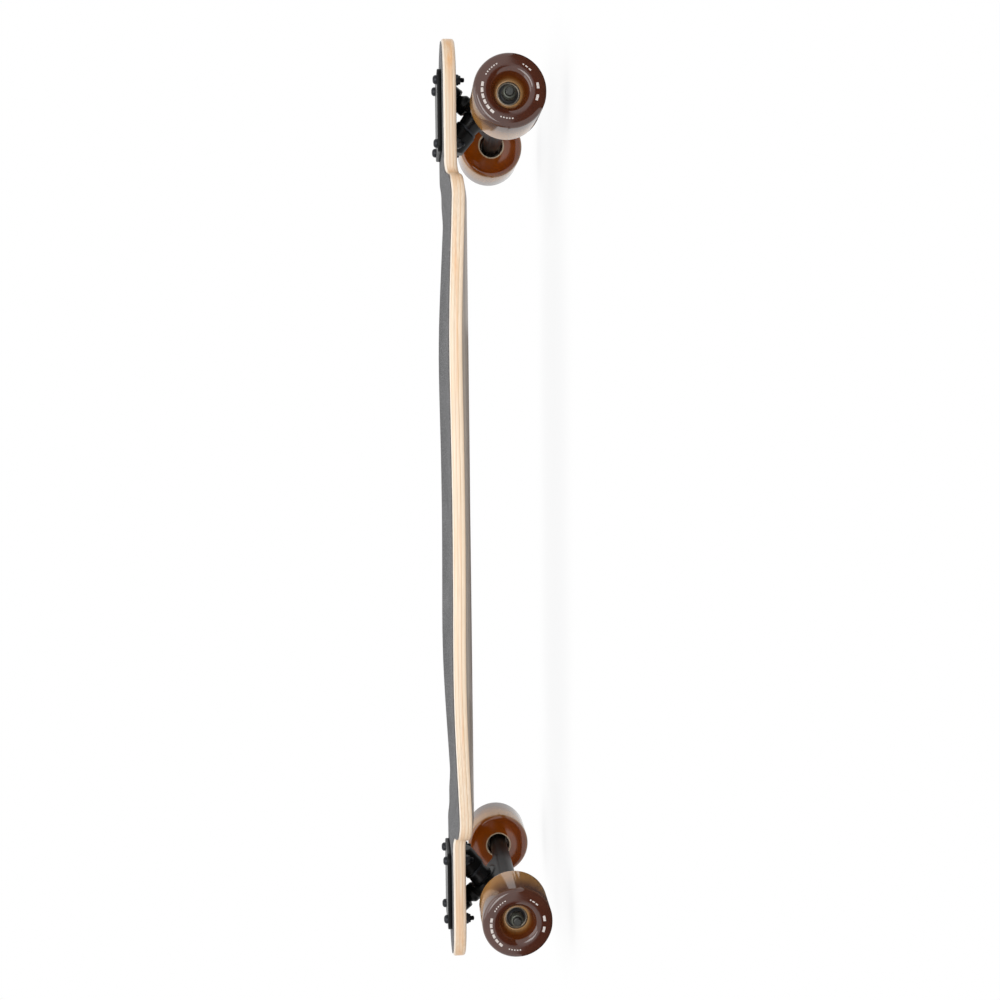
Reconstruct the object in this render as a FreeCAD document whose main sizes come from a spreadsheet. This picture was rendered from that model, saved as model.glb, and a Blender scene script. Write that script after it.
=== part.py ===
import FreeCAD, Part
import math
import os
import re
import Sketcher

# Longboard skateboard with a drop-platform, drop-through deck and two reverse-kingpin trucks.
# Frame: origin on the ground under the middle of the deck, +X to the nose, +Y to the left, +Z up.
# All sizes are millimetres and degrees.

Vector = FreeCAD.Vector
Placement = FreeCAD.Placement
Rotation = FreeCAD.Rotation
AXIS_X = Vector(1, 0, 0)
AXIS_Y = Vector(0, 1, 0)
AXIS_Z = Vector(0, 0, 1)

doc = FreeCAD.newDocument("Longboard")
sheet = doc.addObject("Spreadsheet::Sheet", "Sizes")

SIZES = {
    # Deck: each inset is measured from the tip of the nose or tail
    "deck_length": 965,
    "deck_thickness": 13.1,
    "platform_drop": 8.7,
    "concave_rise": 11.25,
    "concave_flat": 60,
    "waist_width": 231,
    "waist_span": 120,
    "hip_width": 243,
    "hip_inset": 322.5,
    "shoulder_width": 228,
    "shoulder_inset": 250.5,
    "corner_width": 194,
    "corner_inset": 173,
    "cut_width": 180,
    "cut_inset": 151,
    "inside_inset": 147,
    "neck_width": 102,
    "neck_inset": 130,
    "nose_round": 56,
    "bend_inset": 176.5,
    "bend_length": 44,
    "rail_round": 3,
    "grip_thickness": 0.5,
    "grip_glue": 0.05,
    "grip_inset": 2.5,
    # Truck mounting
    "truck_inset": 77,
    "bolt_spacing_long": 63.5,
    "bolt_spacing_wide": 41.3,
    "bolt_diameter": 4.8,
    "bolt_hole_diameter": 5.2,
    "bolt_head_diameter": 9,
    "bolt_head_height": 4,
    "bolt_head_round": 2.6,
    "bolt_socket_width": 3.2,
    "bolt_socket_depth": 1.8,
    "bolt_end": 3.8,
    "bolt_point": 1,
    "mount_nut_width": 9.5,
    "mount_nut_height": 6,
    "mount_nut_collar": 1.8,
    "collar_share": 0.92,
    "slot_width": 30,
    "slot_inner": 39,
    "slot_outer": 36,
    "slot_round": 8,
    "opening_width": 52,
    "opening_inner": 24,
    "opening_outer": 22,
    "opening_round": 6,
    # Baseplate
    "plate_width": 59,
    "plate_inner": 40.5,
    "plate_outer": 42,
    "plate_thickness": 4.6,
    "plate_round": 8,
    "boss_diameter": 26,
    "boss_clearance": 1.5,
    "housing_diameter": 20,
    "cup_diameter": 15,
    "cup_depth": 11,
    "cup_floor": 1.2,
    # Steering geometry
    "steer_angle": 50,
    "ring_out": 0.7,
    "ring_drop": 36.9,
    "axle_in": 8.6,
    "axle_drop": 58.5,
    # Kingpin and its stack
    "kingpin_diameter": 9.5,
    "kingpin_seat_length": 20,
    "kingpin_nut_width": 14.3,
    "kingpin_nut_height": 8,
    "kingpin_nut_collar": 2.2,
    "nut_end": 1.2,
    "kingpin_chamfer": 1,
    "bushing_diameter": 23,
    "barrel_end_diameter": 21,
    "bushing_height": 15,
    "bushing_play": 0.15,
    "bushing_seat": 2.5,
    "bushing_shoulder": 4,
    "seat_play": 0.35,
    "cone_diameter": 17.5,
    "washer_thickness": 1.5,
    "washer_lip": 1.6,
    "washer_wall": 1.2,
    # Hanger
    "ring_diameter": 35,
    "ring_thickness": 12,
    "ring_bore": 15,
    "web_width": 64,
    "web_thickness": 10,
    "bar_width": 180,
    "bar_middle_diameter": 20,
    "bar_middle_width": 48,
    "bar_end_diameter": 18.4,
    "pivot_root_diameter": 20,
    "pivot_root": 13,
    "pivot_shoulder": 8,
    "pivot_taper": 5,
    "pivot_diameter": 11.2,
    "pivot_reach": 36.5,
    "pivot_round": 3,
    "running_clearance": 0.05,
    # Axle, wheels and bearings
    "axle_diameter": 8,
    "axle_end": 3.5,
    "axle_chamfer": 0.8,
    "speed_washer_diameter": 11,
    "speed_washer_thickness": 1.5,
    "axle_nut_width": 13,
    "axle_nut_height": 6.5,
    "axle_nut_collar": 1.8,
    "wheel_diameter": 69,
    "wheel_width": 50,
    "wheel_lip": 4.5,
    "face_round": 1.5,
    "dish_diameter": 38,
    "dish_floor_diameter": 25,
    "recess_diameter": 25.8,
    "recess_floor_diameter": 23.4,
    "recess_depth": 11.5,
    "bearing_sink": 1,
    "bearing_diameter": 22,
    "bearing_width": 7,
    "bearing_gap": 10,
    "bearing_shoulder_diameter": 18.6,
    "outer_race_bore": 18.2,
    "inner_race_diameter": 12.2,
    "ball_circle_diameter": 15.2,
    "ball_diameter": 3.9,
    "ball_count": 7,
    "ball_room": 0.1,
    "retainer_wall": 1.2,
    "retainer_back": 0.55,
    "retainer_fingers": 0.6,
    "shield_thickness": 0.35,
    "shield_inset": 0.25,
    "shield_gap": 0.3,
    "spacer_diameter": 10,
}

for row, (alias, value) in enumerate(SIZES.items(), start=1):
    sheet.set("A%d" % row, alias.replace("_", " "))
    sheet.set("B%d" % row, str(value))
    sheet.setAlias("B%d" % row, alias)
doc.recompute()


def bound(expression):
    """The expression with each size name pointing at its cell."""
    return re.sub(r"[a-z_]+", lambda m: "Sizes." + m[0] if m[0] in SIZES else m[0], expression)


def size(expression):
    """The present value of an expression of sizes."""
    return float(sheet.evalExpression(bound(expression)))


# Makers of simple bodies


def origin_plane(body, role):
    return next(f for f in body.Origin.OriginFeatures if f.Role == role)


def profile(body, role, points):
    """A closed outline on an origin plane, each corner held by two bound distances."""
    sketch = body.newObject("Sketcher::SketchObject", body.Name + "_profile")
    sketch.AttachmentSupport = (origin_plane(body, role), "")
    sketch.MapMode = "FlatFace"
    spots = [Vector(size(across), size(along), 0) for across, along in points]
    for here, there in zip(spots, spots[1:] + spots[:1]):
        sketch.addGeometry(Part.LineSegment(here, there))
    for index, (across, along) in enumerate(points):
        before = (index - 1) % len(points)
        sketch.addConstraint(Sketcher.Constraint("Coincident", before, 2, index, 1))
        for kind, axis, expression in (("DistanceX", -2, across), ("DistanceY", -1, along)):
            value = size(expression)
            if expression == "0":
                sketch.addConstraint(Sketcher.Constraint("PointOnObject", index, 1, axis))
                continue
            number = sketch.addConstraint(Sketcher.Constraint(kind, -1, 1, index, 1, value))
            sketch.setExpression("Constraints[%d]" % number, bound(expression))
    return sketch


def rectangle(inner, outer, width):
    """Corners of an outline that reaches from inner to outer along the truck."""
    return [
        ("-" + inner, "-%s / 2" % width),
        (outer, "-%s / 2" % width),
        (outer, "%s / 2" % width),
        ("-" + inner, "%s / 2" % width),
    ]


def lathe(name, points):
    """A turned body about its own Z axis, from (radius, height) corners."""
    body = doc.addObject("PartDesign::Body", name)
    sketch = profile(body, "XZ_Plane", points)
    turned = body.newObject("PartDesign::Revolution", name + "_turned")
    turned.Profile = sketch
    turned.ReferenceAxis = (sketch, ["V_Axis"])
    turned.Angle = 360
    doc.recompute()
    return body


def slab(name, points, height, middle=False):
    """A straight-sided body from an outline on its XY plane."""
    body = doc.addObject("PartDesign::Body", name)
    sketch = profile(body, "XY_Plane", points)
    pad = body.newObject("PartDesign::Pad", name + "_pad")
    pad.Profile = sketch
    pad.setExpression("Length", bound(height))
    pad.Midplane = middle
    doc.recompute()
    return body


def round_edges(body, radius, chosen):
    """Fillet the edges of the body's last feature that the test picks."""
    last = body.Tip
    edges = enumerate(last.Shape.Edges, start=1)
    names = ["Edge%d" % number for number, edge in edges if chosen(edge)]
    fillet = body.newObject("PartDesign::Fillet", body.Name + "_round")
    fillet.Base = (last, names)
    fillet.setExpression("Radius", bound(radius))
    doc.recompute()


def upright(edge):
    return edge.Curve.TypeId == "Part::GeomLine" and abs(edge.Curve.Direction.z) > 0.9


def circle_of(radius, height):
    """A test for the circular edge of that radius about Z at that height."""

    def chosen(edge):
        if edge.Curve.TypeId != "Part::GeomCircle":
            return False
        return abs(edge.Curve.Radius - size(radius)) < 0.01 and abs(edge.Curve.Center.z - size(height)) < 0.01

    return chosen


def cylinder(name, diameter, height):
    solid = doc.addObject("Part::Cylinder", name)
    solid.setExpression("Radius", bound("(%s) / 2" % diameter))
    solid.setExpression("Height", bound(height))
    return solid


def hexagon(name, width, height):
    """A six-sided prism, given its width across the flats."""
    prism = doc.addObject("Part::Prism", name)
    prism.Polygon = 6
    prism.setExpression("Circumradius", bound("(%s) / sqrt(3)" % width))
    prism.setExpression("Height", bound(height))
    return prism


def fuse(name, pieces):
    result = doc.addObject("Part::MultiFuse", name)
    result.Shapes = pieces
    result.Refine = True
    return result


def common(name, pieces):
    result = doc.addObject("Part::MultiCommon", name)
    result.Shapes = pieces
    return result


def cut(name, base, tool):
    result = doc.addObject("Part::Cut", name)
    result.Base = base
    result.Tool = tool
    return result


def group(name, pieces):
    result = doc.addObject("Part::Compound", name)
    result.Links = pieces
    return result


def mirror(name, piece, normal, base=Vector(0, 0, 0)):
    result = doc.addObject("Part::Mirroring", name)
    result.Source = piece
    result.Normal = normal
    result.Base = base
    return result


def four_corners(name, piece):
    """The piece at one corner of the bolt pattern, repeated at the other three."""
    across = mirror(name + "_across", piece, AXIS_Y)
    pieces = [piece, across]
    pieces += [mirror("%s_along%d" % (name, n), p, AXIS_X) for n, p in enumerate((piece, across))]
    return group(name, pieces)


def lock_nut(name, width, height, collar, bore):
    """A hexagon nut standing on its flat face, with the round collar of its nylon insert on top."""
    body = hexagon(name + "_body", width, "%s - %s" % (height, collar))
    top = cylinder(name + "_collar", width + " * collar_share", collar)
    at(top, moved(0, 0, size("%s - %s" % (height, collar))))
    return cut(name, fuse(name + "_whole", [body, top]), cylinder(name + "_bore", bore, height))


def at(piece, place):
    piece.Placement = place
    return piece


def moved(x=0.0, y=0.0, z=0.0):
    return Placement(Vector(x, y, z), Rotation())


def turned(axis, degrees):
    return Placement(Vector(0, 0, 0), Rotation(axis, degrees))


parts = []


def keep(piece, node, place):
    """Hand a finished sub-part its node name and its place on the board."""
    doc.recompute()
    piece.Label = node
    piece.Placement = place
    parts.append(piece)


# Places that pieces share

NECK_TOP = size("wheel_diameter / 2 + axle_drop")
TRUCK_REACH = size("deck_length / 2 - truck_inset")
TRUCKS = {
    "front": moved(TRUCK_REACH, 0, NECK_TOP),
    "rear": moved(-TRUCK_REACH, 0, NECK_TOP) * turned(AXIS_Z, 180),
}
# Seen from the truck's bolt centre on the deck: Z runs down the kingpin, X towards the axle.
RING_CENTRE = moved(size("ring_out"), 0, -size("ring_drop"))
KINGPIN = RING_CENTRE * turned(AXIS_Y, 180 - size("steer_angle"))
# Z runs up the steering axis to the pivot.
PIVOT = RING_CENTRE * turned(AXIS_Y, 90 - size("steer_angle"))
# Z runs along the axle to the left, X stays outwards.
AXLE = moved(-size("axle_in"), 0, -size("axle_drop")) * turned(AXIS_X, -90)
BOLTS = [
    (along * size("bolt_spacing_long / 2"), across * size("bolt_spacing_wide / 2"))
    for along in (-1, 1)
    for across in (-1, 1)
]
# Height of the gritty sheet over the neck, where the baseplate lies on it.
GRIP_TOP = "(grip_glue + grip_thickness)"
# Distances along the kingpin from the ring's centre to each part of its stack.
BUSHING_FOOT = "(ring_thickness / 2 - bushing_seat)"
STACK_END = "(%s + bushing_height + washer_thickness)" % BUSHING_FOOT
PIN_SEAT = "(%s + kingpin_seat_length)" % STACK_END
# Distances up the steering axis from the ring's centre to the pivot cup.
CUP_END = "(pivot_reach + running_clearance + cup_floor)"
CUP_MOUTH = "(%s - cup_depth)" % CUP_END
# Where the axle crosses the ring's plane, and distances along the axle from the truck's middle.
WEB_REACH = "((axle_in + ring_out) * cos(steer_angle) + (axle_drop - ring_drop) * sin(steer_angle))"
INNER_BEARING = "(bar_width / 2 + speed_washer_thickness)"
BEARING_SPAN = "(2 * bearing_width + bearing_gap)"
OUTER_WASHER = "(%s + %s)" % (INNER_BEARING, BEARING_SPAN)
AXLE_NUT = "(%s + speed_washer_thickness)" % OUTER_WASHER

# Deck

# Distance from the middle of the deck to where the dished platform ends and the bend begins.
BEND_START = size("deck_length / 2 - bend_inset")


def deck_section(along, top, thickness):
    """The pressed section across the deck at one station along it, wider than the deck."""
    share = min(max((abs(along) - BEND_START) / size("bend_length"), 0), 1)
    pressed = 1 - share * share * (3 - 2 * share)
    flat = size("concave_flat / 2")
    edge = size("hip_width / 2") + size("deck_thickness")
    reach = (edge - flat) / (size("hip_width / 2") - flat)
    level = top - pressed * size("platform_drop")
    rise = pressed * size("concave_rise") * reach**3

    def skin(height):
        """Rail, flat and rail: each rail climbs with the cube of the distance from the flat."""
        reaches = [flat, flat + (edge - flat) / 3, flat + (edge - flat) * 2 / 3, edge]
        heights = [height, height, height, height + rise]
        left = Part.BezierCurve()
        left.setPoles([Vector(along, y, z) for y, z in zip(reaches, heights)])
        right = Part.BezierCurve()
        right.setPoles([Vector(along, -y, z) for y, z in zip(reaches[::-1], heights[::-1])])
        middle = Part.LineSegment(right.EndPoint, left.StartPoint)
        return [right, middle, left]

    upper = skin(level)
    lower = skin(level - thickness)
    sides = [
        Part.LineSegment(upper[2].EndPoint, lower[2].EndPoint),
        Part.LineSegment(lower[0].StartPoint, upper[0].StartPoint),
    ]
    loop = upper + [sides[0]] + lower[::-1] + [sides[1]]
    return Part.Wire(Part.__sortEdges__([curve.toShape() for curve in loop]))


def pressed_blank(name, top, thickness):
    """The laminate as it leaves the press: dished platform, two bends and two flat ends."""
    bend = size("bend_length")
    tail = Part.Face(deck_section(-BEND_START, top, thickness))
    pieces = [tail.extrude(Vector(2 * BEND_START, 0, 0))]
    steps = 6
    for side in (-1, 1):
        stations = [side * (BEND_START + bend * n / steps) for n in range(steps + 1)]
        pieces.append(Part.makeLoft([deck_section(x, top, thickness) for x in stations], True, False))
        end = Part.Face(deck_section(stations[-1], top, thickness))
        pieces.append(end.extrude(Vector(side * size("bend_inset"), 0, 0)))
    blank = doc.addObject("Part::Feature", name)
    blank.Shape = pieces[0].multiFuse(pieces[1:]).removeSplitter()
    return blank


def deck_plan(inset):
    """The deck's outline: waisted sides, cut-away wheel corners, straight necks and round ends."""
    neck = size("neck_width / 2") - inset
    neck_end = size("deck_length / 2 - neck_inset")
    inside = size("deck_length / 2 - inside_inset")
    # Poles of a smooth flank, from the neck to the middle: it stays inside the corners they mark.
    poles = [(neck_end, neck), ((neck_end + inside) / 2, neck), (inside, neck)]
    for station in ("cut", "corner", "shoulder", "hip"):
        reach = size("deck_length / 2 - %s_inset" % station)
        poles.append((reach, size(station + "_width / 2") - inset))
    poles.append((size("waist_span / 2"), size("waist_width / 2") - inset))
    tip = size("deck_length / 2") - inset
    shoulder = size("deck_length / 2 - nose_round")
    # A cubic with this pull follows a quarter of an ellipse.
    pull = 4 / 3 * (math.sqrt(2) - 1)
    edges = []
    for across in (-1, 1):
        tail_half = [Vector(-x, across * y, 0) for x, y in poles]
        nose_half = [Vector(x, across * y, 0) for x, y in reversed(poles)]
        flank = Part.BSplineCurve()
        flank.buildFromPoles(tail_half + nose_half, False, 3)
        edges.append(flank.toShape())
        for end in (-1, 1):
            nose = Part.BezierCurve()
            nose.setPoles([
                Vector(end * shoulder, across * neck, 0),
                Vector(end * (shoulder + pull * (tip - shoulder)), across * neck, 0),
                Vector(end * tip, across * pull * neck, 0),
                Vector(end * tip, 0, 0),
            ])
            edges.append(nose.toShape())
            edges.append(Part.makeLine(Vector(end * neck_end, across * neck, 0), nose.StartPoint))
    return Part.Wire(Part.__sortEdges__(edges))


def plan_prism(name, inset):
    prism = doc.addObject("Part::Feature", name)
    prism.Shape = Part.Face(deck_plan(inset)).extrude(Vector(0, 0, 2 * NECK_TOP))
    return prism


def truck_opening(name):
    """What one truck needs through the deck: a long slot with a wider middle, and four bolt holes."""
    depth = "4 * deck_thickness"
    slot = slab(name + "_slot", rectangle("slot_inner", "slot_outer", "slot_width"), depth, True)
    round_edges(slot, "slot_round", upright)
    outline = rectangle("opening_inner", "opening_outer", "opening_width")
    middle = slab(name + "_middle", outline, depth, True)
    round_edges(middle, "opening_round", upright)
    return fuse(name, [slot, middle] + bolt_holes(name))


def bolt_holes(name):
    holes = []
    for number, (along, across) in enumerate(BOLTS):
        hole = cylinder("%s_hole%d" % (name, number), "bolt_hole_diameter", "4 * deck_thickness")
        holes.append(at(hole, moved(along, across, -size("2 * deck_thickness"))))
    return holes


def openings(name):
    pieces = [at(truck_opening("%s_%s" % (name, end)), place) for end, place in TRUCKS.items()]
    return fuse(name, pieces)


def laminate(name, top, thickness, inset):
    blank = pressed_blank(name + "_blank", top, thickness)
    trimmed = common(name + "_trimmed", [blank, plan_prism(name + "_plan", inset)])
    return cut(name, trimmed, openings(name + "_openings"))


def rounded_deck(name, sawn):
    """The sawn deck with its outer edges rounded over, above and below."""
    plan = deck_plan(0)
    rounded = doc.addObject("Part::Fillet", name)
    rounded.Base = sawn
    radius = size("rail_round")
    chosen = []
    for number, edge in enumerate(sawn.Shape.Edges, start=1):
        ends = [edge.valueAt(p) for p in (edge.FirstParameter, edge.LastParameter)]
        middle = edge.valueAt((edge.FirstParameter + edge.LastParameter) / 2)
        upright_edge = abs(ends[0].z - ends[1].z) > 0.6 * edge.Length
        on_plan = plan.distToShape(Part.Vertex(middle.x, middle.y, 0))[0] < 0.05
        if on_plan and not upright_edge:
            chosen.append((number, radius, radius))
    rounded.Edges = chosen
    doc.recompute()
    return rounded


def grip_sheet():
    """The gritty sheet glued to the deck's top face, cut to the same openings."""
    top = NECK_TOP + size(GRIP_TOP)
    return laminate("grip_sheet", top, size("grip_thickness"), size("grip_inset"))


sawn_deck = laminate("sawn_deck", NECK_TOP, size("deck_thickness"), 0)
doc.recompute()
keep(rounded_deck("deck", sawn_deck), "deck", moved())
keep(grip_sheet(), "grip_sheet", moved())


# Trucks


def baseplate(name):
    """Plate on the deck, with the kingpin's boss and the pivot's housing reaching down through it."""
    plate = slab(name + "_plate", rectangle("plate_inner", "plate_outer", "plate_width"), "plate_thickness")
    round_edges(plate, "plate_round", upright)
    at(plate, moved(0, 0, size(GRIP_TOP)))
    boss = cylinder(name + "_boss", "boss_diameter", "2 * %s" % PIN_SEAT)
    at(boss, KINGPIN * moved(0, 0, -size("%s + 2 * %s" % (STACK_END, PIN_SEAT))))
    housing = cylinder(name + "_housing", "housing_diameter", "2 * pivot_reach")
    at(housing, PIVOT * moved(0, 0, size(CUP_MOUTH)))
    # Both reach down inside the deck's slot, clear of its walls and rounded corners.
    outline = rectangle(
        "(slot_inner - boss_clearance)",
        "(slot_outer - boss_clearance)",
        "(slot_width - 2 * boss_clearance)",
    )
    room = slab(name + "_room", outline, "axle_drop + %s + plate_thickness / 2" % GRIP_TOP)
    round_edges(room, "slot_round - boss_clearance", upright)
    at(room, moved(0, 0, -size("axle_drop")))
    legs = common(name + "_legs", [fuse(name + "_stubs", [boss, housing]), room])
    bore = cylinder(name + "_kingpin_bore", "kingpin_diameter", PIN_SEAT)
    at(bore, KINGPIN * moved(0, 0, -size(PIN_SEAT)))
    socket = cylinder(name + "_socket", "cup_diameter", "cup_depth")
    at(socket, PIVOT * moved(0, 0, size(CUP_MOUTH)))
    holes = fuse(name + "_holes", [bore, socket] + bolt_holes(name))
    return cut(name, fuse(name + "_casting", [plate, legs]), holes)


def pivot_cup(name):
    """Plastic liner round the hanger's pivot, its mouth towards the ring."""
    wall = "pivot_diameter / 2 + running_clearance"
    return lathe(
        name,
        [
            (wall, "0"),
            ("cup_diameter / 2", "0"),
            ("cup_diameter / 2", "cup_depth"),
            ("0", "cup_depth"),
            ("0", "cup_depth - cup_floor"),
            (wall, "cup_depth - cup_floor"),
        ],
    )


def kingpin(name):
    """Threaded pin pressed into the baseplate's boss."""
    end = "%s + kingpin_nut_height + nut_end" % STACK_END
    return lathe(
        name,
        [
            ("0", "-" + PIN_SEAT),
            ("kingpin_diameter / 2", "-" + PIN_SEAT),
            ("kingpin_diameter / 2", end + " - kingpin_chamfer"),
            ("kingpin_diameter / 2 - kingpin_chamfer", end),
            ("0", end),
        ],
    )


def kingpin_nut(name):
    return lock_nut(
        name,
        "kingpin_nut_width",
        "kingpin_nut_height",
        "kingpin_nut_collar",
        "kingpin_diameter",
    )


def bushing(name, end_diameter, shoulder):
    """Urethane spring on the kingpin, standing on the ring's seat, narrower at the washer."""
    bore = "kingpin_diameter / 2 + bushing_play"
    return lathe(
        name,
        [
            (bore, "0"),
            ("bushing_diameter / 2", "0"),
            ("bushing_diameter / 2", shoulder),
            (end_diameter + " / 2", "bushing_height - washer_lip - bushing_play"),
            (end_diameter + " / 2", "bushing_height"),
            (bore, "bushing_height"),
        ],
    )


def cup_washer(name, end_diameter):
    """Pressed washer whose lip holds the end of a bushing."""
    bore = "kingpin_diameter / 2 + bushing_play"
    lip = end_diameter + " / 2 + bushing_play"
    return lathe(
        name,
        [
            (bore, "0"),
            (lip + " + washer_wall", "0"),
            (lip + " + washer_wall", "washer_thickness + washer_lip"),
            (lip, "washer_thickness + washer_lip"),
            (lip, "washer_thickness"),
            (bore, "washer_thickness"),
        ],
    )


def hanger(name):
    """Casting that carries the axle: bushing ring, web, cross bar and pivot."""
    ring = cylinder(name + "_ring", "ring_diameter", "ring_thickness")
    at(ring, KINGPIN * moved(0, 0, -size("ring_thickness / 2")))
    outline = [
        ("0", "-ring_diameter / 2"),
        (WEB_REACH, "-web_width / 2"),
        (WEB_REACH, "web_width / 2"),
        ("0", "ring_diameter / 2"),
    ]
    web = at(slab(name + "_web", outline, "web_thickness", True), KINGPIN)
    bar = lathe(
        name + "_bar",
        [
            ("0", "-bar_width / 2"),
            ("bar_end_diameter / 2", "-bar_width / 2"),
            ("bar_middle_diameter / 2", "-bar_middle_width / 2"),
            ("bar_middle_diameter / 2", "bar_middle_width / 2"),
            ("bar_end_diameter / 2", "bar_width / 2"),
            ("0", "bar_width / 2"),
        ],
    )
    pivot = lathe(
        name + "_pivot",
        [
            ("0", "pivot_root"),
            ("pivot_root_diameter / 2", "pivot_root"),
            ("pivot_root_diameter / 2", "pivot_root + pivot_shoulder"),
            ("pivot_diameter / 2", "pivot_root + pivot_shoulder + pivot_taper"),
            ("pivot_diameter / 2", "pivot_reach"),
            ("0", "pivot_reach"),
        ],
    )
    round_edges(pivot, "pivot_round", circle_of("pivot_diameter / 2", "pivot_reach"))
    solid = fuse(name + "_casting", [ring, web, at(bar, AXLE), at(pivot, PIVOT)])
    bore = cylinder(name + "_ring_bore", "ring_bore", "ring_diameter")
    at(bore, KINGPIN * moved(0, 0, -size("ring_diameter / 2")))
    seat = "bushing_diameter + 2 * seat_play"
    road_seat = cylinder(name + "_road_seat", seat, "bushing_height")
    at(road_seat, KINGPIN * moved(0, 0, size(BUSHING_FOOT)))
    board_seat = cylinder(name + "_board_seat", seat, "bushing_height")
    at(board_seat, KINGPIN * moved(0, 0, -size(BUSHING_FOOT + " + bushing_height")))
    axle_bore = cylinder(name + "_axle_bore", "axle_diameter", "bar_width")
    at(axle_bore, AXLE * moved(0, 0, -size("bar_width / 2")))
    return cut(name, solid, fuse(name + "_bores", [bore, road_seat, board_seat, axle_bore]))


def axle(name):
    end = "(%s + axle_nut_height + axle_end)" % AXLE_NUT
    return lathe(
        name,
        [
            ("0", "-" + end),
            ("axle_diameter / 2 - axle_chamfer", "-" + end),
            ("axle_diameter / 2", "-%s + axle_chamfer" % end),
            ("axle_diameter / 2", end + " - axle_chamfer"),
            ("axle_diameter / 2 - axle_chamfer", end),
            ("0", end),
        ],
    )


def tube(name, diameter, bore, start, length):
    """A plain ring or sleeve about Z."""
    return lathe(
        name,
        [
            (bore + " / 2", start),
            (diameter + " / 2", start),
            (diameter + " / 2", "%s + %s" % (start, length)),
            (bore + " / 2", "%s + %s" % (start, length)),
        ],
    )


def both_ends(name, pieces):
    """Pieces on the left half of the axle, repeated on the right half."""
    right = [mirror("%s_right%d" % (name, n), piece, AXIS_Z) for n, piece in enumerate(pieces)]
    return group(name, pieces + right)


LOOSE_BORE = "(axle_diameter + 2 * running_clearance)"


def speed_washers(name):
    starts = ("bar_width / 2", OUTER_WASHER)
    rings = [
        tube("%s%d" % (name, n), "speed_washer_diameter", LOOSE_BORE, start, "speed_washer_thickness")
        for n, start in enumerate(starts)
    ]
    return both_ends(name, rings)


def axle_nuts(name):
    nut = lock_nut(name + "_left", "axle_nut_width", "axle_nut_height", "axle_nut_collar", "axle_diameter")
    return both_ends(name, [at(nut, moved(0, 0, size(AXLE_NUT)))])


def mounting_bolts(name):
    """Button-head bolts through the plate and the deck, pointed past their nuts."""
    end = "-(plate_thickness + %s + deck_thickness + mount_nut_height + bolt_end)" % GRIP_TOP
    bolt = lathe(
        name + "_turned",
        [
            ("0", end),
            ("bolt_diameter / 2 - bolt_point", end),
            ("bolt_diameter / 2", end + " + bolt_point"),
            ("bolt_diameter / 2", "0"),
            ("bolt_head_diameter / 2", "0"),
            ("bolt_head_diameter / 2", "bolt_head_height"),
            ("0", "bolt_head_height"),
        ],
    )
    round_edges(bolt, "bolt_head_round", circle_of("bolt_head_diameter / 2", "bolt_head_height"))
    socket = hexagon(name + "_socket", "bolt_socket_width", "bolt_socket_depth")
    at(socket, moved(0, 0, size("bolt_head_height - bolt_socket_depth")))
    along, across = BOLTS[-1]
    top = size(GRIP_TOP + " + plate_thickness")
    return four_corners(name, at(cut(name + "_bolt", bolt, socket), moved(along, across, top)))


def mounting_nuts(name):
    nut = lock_nut(name + "_one", "mount_nut_width", "mount_nut_height", "mount_nut_collar", "bolt_diameter")
    along, across = BOLTS[-1]
    upside_down = moved(along, across, -size("deck_thickness")) * turned(AXIS_X, 180)
    return four_corners(name, at(nut, upside_down))


for end, truck in TRUCKS.items():
    road_end = KINGPIN * moved(0, 0, size(STACK_END))
    board_end = KINGPIN * moved(0, 0, -size(STACK_END))
    road_foot = KINGPIN * moved(0, 0, size(BUSHING_FOOT))
    board_foot = KINGPIN * moved(0, 0, -size(BUSHING_FOOT)) * turned(AXIS_X, 180)
    made = [
        (baseplate, "baseplate", Placement(), ()),
        (pivot_cup, "pivot_cup", PIVOT * moved(0, 0, size(CUP_MOUTH)), ()),
        (kingpin, "kingpin", KINGPIN, ()),
        (kingpin_nut, "kingpin_nut", road_end, ()),
        (cup_washer, "boardside_washer", board_end, ("barrel_end_diameter",)),
        (cup_washer, "roadside_washer", road_end * turned(AXIS_X, 180), ("cone_diameter",)),
        (bushing, "boardside_bushing", board_foot, ("barrel_end_diameter", "bushing_height / 2")),
        (bushing, "roadside_bushing", road_foot, ("cone_diameter", "bushing_shoulder")),
        (hanger, "hanger", Placement(), ()),
        (axle, "axle", AXLE, ()),
        (speed_washers, "speed_washers", AXLE, ()),
        (axle_nuts, "axle_nuts", AXLE, ()),
        (mounting_bolts, "mounting_bolts", Placement(), ()),
        (mounting_nuts, "mounting_nuts", Placement(), ()),
    ]
    for maker, piece, place, options in made:
        node = "%s_%s" % (end, piece)
        keep(maker(node, *options), node, truck * place)


# Wheels and bearings, each in its own frame: Z runs outwards along the axle from the inner bearing


def wheel(name):
    """Urethane wheel: dished outer face, two bearing seats and a shoulder between them."""
    far = BEARING_SPAN
    seat = "bearing_diameter / 2"
    shoulder = "bearing_shoulder_diameter / 2"
    face = "wheel_width - recess_depth"
    body = lathe(
        name,
        [
            ("recess_diameter / 2", "-recess_depth"),
            ("wheel_diameter / 2", "-recess_depth"),
            ("wheel_diameter / 2", face),
            ("dish_diameter / 2", face),
            ("dish_floor_diameter / 2", far + " + bearing_sink"),
            (seat, far + " + bearing_sink"),
            (seat, "bearing_width + bearing_gap"),
            (shoulder, "bearing_width + bearing_gap"),
            (shoulder, "bearing_width"),
            (seat, "bearing_width"),
            (seat, "-bearing_sink"),
            ("recess_floor_diameter / 2", "-bearing_sink"),
        ],
    )
    tread = circle_of("wheel_diameter / 2", face)
    inside = circle_of("wheel_diameter / 2", "-recess_depth")
    round_edges(body, "wheel_lip", lambda edge: tread(edge) or inside(edge))
    round_edges(body, "face_round", circle_of("dish_diameter / 2", face))
    return body


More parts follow.
